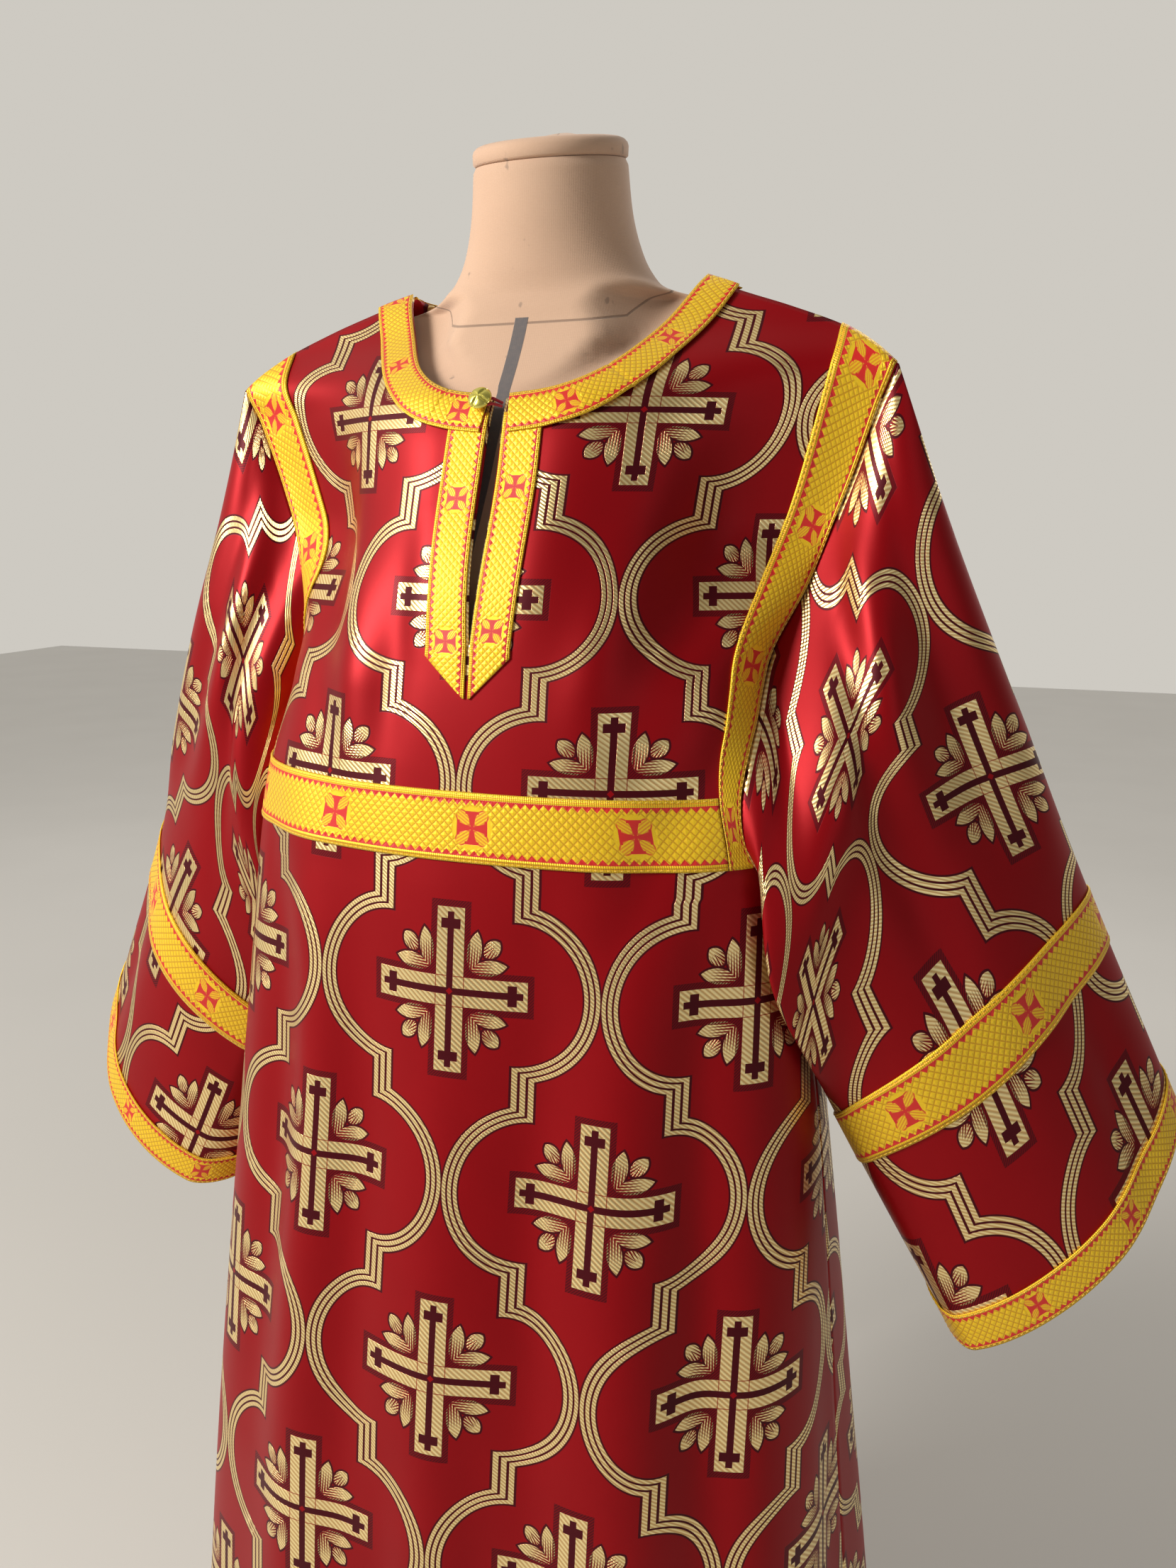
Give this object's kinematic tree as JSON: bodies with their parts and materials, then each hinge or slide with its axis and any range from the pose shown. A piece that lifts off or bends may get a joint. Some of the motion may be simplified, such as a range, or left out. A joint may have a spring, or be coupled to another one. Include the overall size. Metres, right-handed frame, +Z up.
{
  "type": "sticharion (vestment gown) on a limbless dress form",
  "caption": "Red and gold brocade sticharion with wide sleeves, galloon trimming and a slit neck with button and loop, worn on a limbless dress form with a round base",
  "frame": {"origin": "on the floor, under the middle of the whole object", "axes": "+Z up, the gown's front faces -Y, the wearer's left is +X"},
  "size_m": [1.0194, 0.5175, 1.614],
  "materials": {
    "brocade": "satin",
    "galloon": "satin",
    "button_metal": "polished",
    "loop_cord": "matte",
    "form_canvas": "matte",
    "stand_metal": "satin black"
  },
  "bodies": {
    "root": {"front_panel": "brocade", "back_panel": "brocade", "sleeve_left": "brocade", "sleeve_right": "brocade", "neck_trim_left": "galloon", "neck_trim_right": "galloon", "neck_trim_back": "galloon", "slit_trim_left": "galloon", "slit_trim_right": "galloon", "armhole_trim_left": "galloon", "armhole_trim_right": "galloon", "chest_band_front": "galloon", "chest_band_back": "galloon", "elbow_band_left": "galloon", "elbow_band_right": "galloon", "cuff_band_left": "galloon", "cuff_band_right": "galloon", "button": "button_metal", "button_loop": "loop_cord", "form_torso": "form_canvas", "form_neck_cap": "form_canvas", "form_pole": "stand_metal", "form_base": "stand_metal"}
  },
  "joints": []
}
